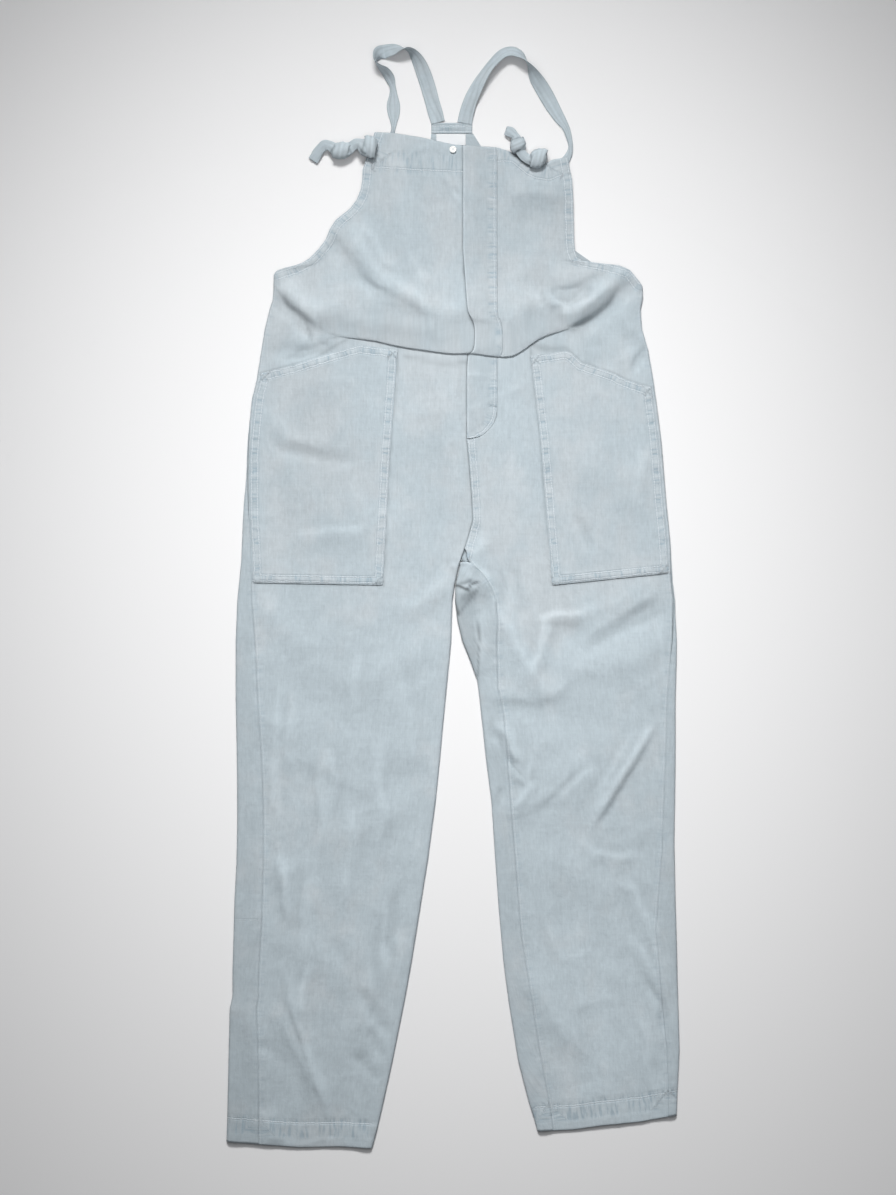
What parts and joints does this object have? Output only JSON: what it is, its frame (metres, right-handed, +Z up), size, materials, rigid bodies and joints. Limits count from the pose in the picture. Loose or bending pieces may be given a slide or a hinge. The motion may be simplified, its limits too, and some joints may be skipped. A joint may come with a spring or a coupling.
{
  "type": "bib overalls",
  "caption": "Sleeveless denim bib overalls lying flat, front up, with a buttoned placket, knotted shoulder straps, patch pockets and straight long legs.",
  "frame": {"origin": "centre of the footprint, on the surface that the garment lies on", "axes": "+Y from the hems to the straps, +X to the viewer's right with the front up, +Z up from the surface"},
  "size_m": [0.5653, 1.3798, 0.0187],
  "materials": {
    "denim": "pale washed denim, matt",
    "label": "plain white woven tape",
    "button": "white, satin"
  },
  "bodies": {
    "root": {"front_left": "denim", "front_right": "denim", "back_left": "denim", "back_right": "denim", "front_placket": "denim", "pocket_left": "denim", "pocket_right": "denim", "back_yoke": "denim", "strap_left": "denim", "strap_right": "denim", "tie_left": "denim", "tie_right": "denim", "blank_label": "label", "top_button": "button"}
  },
  "joints": []
}
